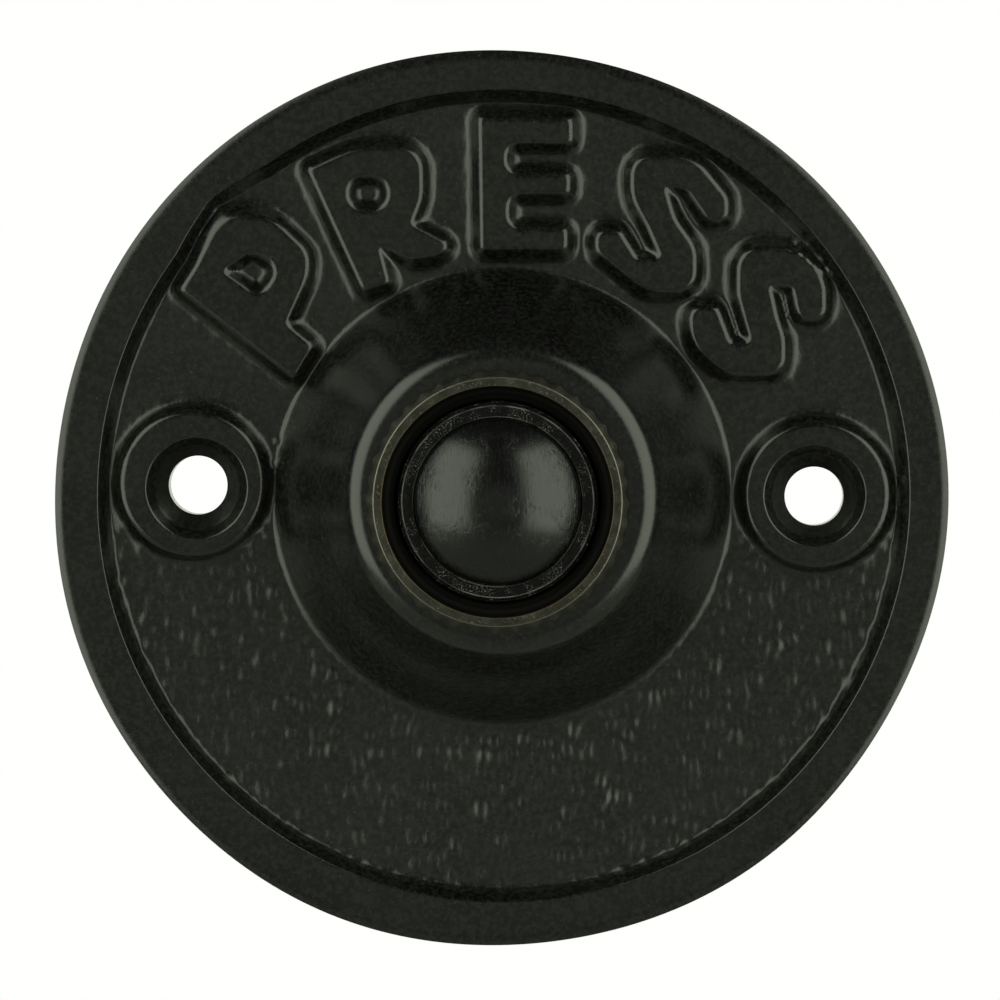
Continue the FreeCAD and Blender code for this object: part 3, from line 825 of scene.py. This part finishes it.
def makeNut():
    plan = nutPlan
    mouthFoot = nutFront - plan["mouthDepth"]
    floorWidth = plan["mouth"] - plan["mouthDraft"] - plan["bore"]
    corners = [
        (plan["bore"], seatFront, 0.1),
        (nutRadius - plan["chamfer"], seatFront, plan["smallRound"]),
        (nutRadius, seatFront + plan["chamfer"], plan["smallRound"]),
        (nutRadius, nutFront - plan["bevelFall"], 0.08),
        (plan["faceEdge"], nutFront, plan["edgeRound"]),
        (plan["mouth"], nutFront, plan["mouthRound"]),
        (plan["mouth"] - plan["mouthDraft"], mouthFoot, plan["smallRound"]),
    ]
    for k in range(2 * plan["ridges"]):  # thread ends that show on the mouth's floor
        share = (k + 0.5) / (2 * plan["ridges"])
        rise = plan["ridgeHeight"] * (1 if k % 2 else -1)
        corners.append((plan["mouth"] - plan["mouthDraft"] - floorWidth * share,
                        mouthFoot - plan["mouthFall"] * share + rise, 0.03))
    corners.append((plan["bore"], mouthFoot - plan["mouthFall"], plan["smallRound"]))
    outline = spaced(roundedOutline(corners, 20), lambda place: 0.5)
    nut = spinOutline("nutDressed", outline, plan["teeth"] * plan["stepsPerTooth"])
    across, front, up = cornersOf(nut)
    radius = np.hypot(across, up)
    turn = np.arctan2(up, across)
    wave = 0.5 - 0.5 * np.cos(plan["teeth"] * turn)  # 0 at a tip and 1 in a valley
    wear = sum(reach * np.sin(lobes * turn + start) for lobes, reach, start in toothWear)
    toothFoot = plan["faceEdge"] + plan["toothStart"]
    weight = np.clip((radius - toothFoot) / (nutRadius - toothFoot), 0, 1)
    scale = 1 - weight * (plan["toothDepth"] * wave ** plan["toothPower"] + np.clip(wear, 0, 1)) / radius
    moveCorners(nut, across * scale, front, up * scale)
    dress(nut, "bronzed_brass", "housing", "ring_nut")


makeNut()


# Barrel: the moulded body, whose end shows inside the nut

barrelPlan = {
    "radius": 8.4, "bore": 7.03, "pinHole": 1.58, "collar": 3.28, "collarHeight": 0.6, "floor": 1.2,
    "flange": 11.6, "flangeThick": 1.6, "skirtWall": 1.2, "washer": 0.6, "edgeRound": 0.12, "seatRadius": 1.9,
    "pitch": 0.75, "threadDepth": 0.22, "threadStart": 0.8, "threadRound": 0.05, "topLand": 0.45,
    "topFall": 0.3, "topRound": 0.28, "steps": 192,
}


def makeBarrel():
    plan = barrelPlan
    flangeFront = seatFront - castingPlan["wall"] - plan["washer"]
    flangeBack = flangeFront - plan["flangeThick"]
    skirtBack = -corner("push_barrel", 1, True)
    floorFront = flangeBack + plan["floor"]
    corners = [
        (plan["pinHole"], flangeBack, 0.1),
        (plan["flange"] - plan["skirtWall"], flangeBack, 0.2),
        (plan["flange"] - plan["skirtWall"], skirtBack, 0.1),
        (plan["flange"], skirtBack, 0.15),
        (plan["flange"], flangeFront, 0.2),
        (plan["radius"], flangeFront, 0.1),
    ]
    thread = flangeFront + plan["threadStart"]
    while thread < barrelFront - plan["topLand"]:
        corners += [(plan["radius"] - plan["threadDepth"], thread, plan["threadRound"]),
                    (plan["radius"], thread + plan["pitch"] / 2, plan["threadRound"])]
        thread += plan["pitch"]
    corners += [
        (plan["radius"] - plan["topFall"], barrelFront - plan["topLand"], plan["threadRound"]),
        (plan["radius"] - plan["topFall"], barrelFront, plan["topRound"]),
        (plan["bore"], barrelFront, plan["edgeRound"]),
        (plan["bore"], floorFront, 0),
        (plan["collar"], floorFront, 0),
        (plan["collar"], floorFront + plan["collarHeight"], 0.2),
        (plan["pinHole"], floorFront + plan["collarHeight"], 0),
    ]
    outline = spaced(roundedOutline(corners, 20), lambda place: 0.5 if place.y > barrelFront - 0.1 else 3)
    barrel = spinOutline("barrelDressed", outline, plan["steps"])
    base = screwSeats(skirtBack, flangeBack + plan["flangeThick"] / 2)
    boolean(barrel, base, "UNION")
    dress(barrel, "black_phenolic", "housing", "push_barrel", angle=32)


def screwSeats(back, front):  # the two bosses in the skirt that take the base's screws
    seats = []
    for node in ("base_screw_top", "base_screw_bottom"):
        low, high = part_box(node)
        deselectAll()
        depth = (front - back) * mm
        bpy.ops.mesh.primitive_cylinder_add(vertices=64, radius=barrelPlan["seatRadius"] * mm, depth=depth,
                                            location=(0, -(front + back) / 2 * mm, (low.z + high.z) / 2),
                                            rotation=(math.pi / 2, 0, 0))
        bpy.ops.object.transform_apply(location=True, rotation=True, scale=True)
        seats.append(bpy.context.object)
    return joined(seats)


makeBarrel()


# Button: a glossy domed cap, hollow behind

buttonPlan = {
    "domeHeight": 2.9, "wall": 1.35, "edgeRound": 0.25, "edgeDrop": 0.2, "bossOuter": 2.6, "bossRound": 0.2,
    "bossDepth": 3.0, "pinHole": 1.52, "steps": 160, "rings": 28,
    "domeShare": 0.99,  # the dome's outermost ring, as a share of its full turn
}


def makeButton():
    plan = buttonPlan
    edgeFront = buttonTop - plan["domeHeight"]
    domeRadius = (buttonRadius ** 2 + plan["domeHeight"] ** 2) / (2 * plan["domeHeight"])
    bossFoot = edgeFront - plan["bossDepth"]
    inside = [
        (0, edgeFront, 0), (plan["pinHole"], edgeFront, 0), (plan["pinHole"], bossFoot, 0),
        (plan["bossOuter"], bossFoot, plan["bossRound"]), (plan["bossOuter"], edgeFront, 0),
        (buttonRadius - plan["wall"], edgeFront, plan["edgeRound"]),
        (buttonRadius - plan["wall"], buttonFoot, 0), (buttonRadius, buttonFoot, plan["edgeRound"]),
        (buttonRadius, edgeFront - plan["edgeDrop"], 0),
    ]
    outline = roundedOutline(inside)
    fullTurn = math.asin(buttonRadius / domeRadius)
    for k in range(plan["rings"] + 1):
        tilt = fullTurn * plan["domeShare"] * (1 - k / plan["rings"])
        fall = domeRadius * (1 - math.cos(tilt))
        outline.append(Vector((domeRadius * math.sin(tilt), buttonTop - fall)))
    button = spinOutline("buttonDressed", outline + outline[:1], plan["steps"])
    dress(button, "button_phenolic", "button", "button_cap")


makeButton()


# Return spring: drawn again as a coil of round wire

springPlan = {"wire": 0.3, "turns": 4.5, "sides": 12, "stepsPerTurn": 40, "travel": 1.8}


def makeSpring():
    plan = springPlan
    low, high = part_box("return_spring")
    length = high.y - low.y - 2 * plan["wire"] * mm
    deselectAll()
    bpy.ops.mesh.primitive_circle_add(vertices=plan["sides"], radius=plan["wire"] * mm,
                                      location=(high.x - plan["wire"] * mm, high.y - plan["wire"] * mm, 0))
    spring = bpy.context.object
    spring.name = "springDressed"
    bpy.ops.object.transform_apply(location=True)
    wind = spring.modifiers.new("wind", "SCREW")
    wind.axis = "Y"
    wind.angle = 2 * math.pi * plan["turns"]
    wind.screw_offset = -length
    wind.steps = wind.render_steps = round(plan["stepsPerTurn"] * plan["turns"])
    bpy.ops.object.modifier_apply(modifier=wind.name)
    bpy.ops.object.mode_set(mode="EDIT")
    bpy.context.tool_settings.mesh_select_mode = (True, False, False)
    bpy.ops.mesh.select_all(action="SELECT")
    bpy.ops.mesh.fill_holes(sides=0)
    bpy.ops.mesh.select_all(action="SELECT")
    bpy.ops.mesh.normals_make_consistent(inside=False)
    bpy.ops.object.mode_set(mode="OBJECT")
    dress(spring, "spring_steel", "housing", "return_spring")
    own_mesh(spring)


makeSpring()

for node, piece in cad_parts.items():
    slot = piece.material_slots[0].material.name.split(".")[0]
    piece.material_slots[0].material = finish[slot]
print("stage: frame nodes dressed")


def setBackdrop():  # white as the camera sees it, and faint as the push does
    world = bpy.data.worlds.new("studio")
    bpy.context.scene.world = world
    world.use_nodes = True
    tree = world.node_tree
    backdrop = tree.nodes["Background"]
    path = tree.nodes.new("ShaderNodeLightPath")
    strength = tree.nodes.new("ShaderNodeMapRange")
    strength.inputs["To Min"].default_value = worldPlan["felt"]
    strength.inputs["To Max"].default_value = worldPlan["seen"]
    tree.links.new(path.outputs["Is Camera Ray"], strength.inputs["Value"])
    tree.links.new(strength.outputs[0], backdrop.inputs["Strength"])
    backdrop.inputs["Color"].default_value = (*worldPlan["warmth"], 1)


def layFloor():
    deselectAll()
    bpy.ops.mesh.primitive_plane_add(size=floorPlan["size"], location=(0, 0, -floorPlan["below"] * mm))
    floor = bpy.context.object
    floor.name = "floor"
    paint = Paint("floorPaint", Roughness=0.9)
    lighter = tuple(floorPlan["lighter"] * channel for channel in floorPlan["tone"])
    tone = paint.blend(paint.noise(floorPlan["blot"], 2), floorPlan["tone"], lighter)
    paint.feed(paint.shader, {"Base Color": tone})
    floor.data.materials.append(paint.material)


setCamera()
for name, plan in lampPlan.items():
    setLamp(name, plan)
setBackdrop()
layFloor()
bpy.context.scene.view_settings.view_transform = "Standard"
print("stage: camera, lights and floor")
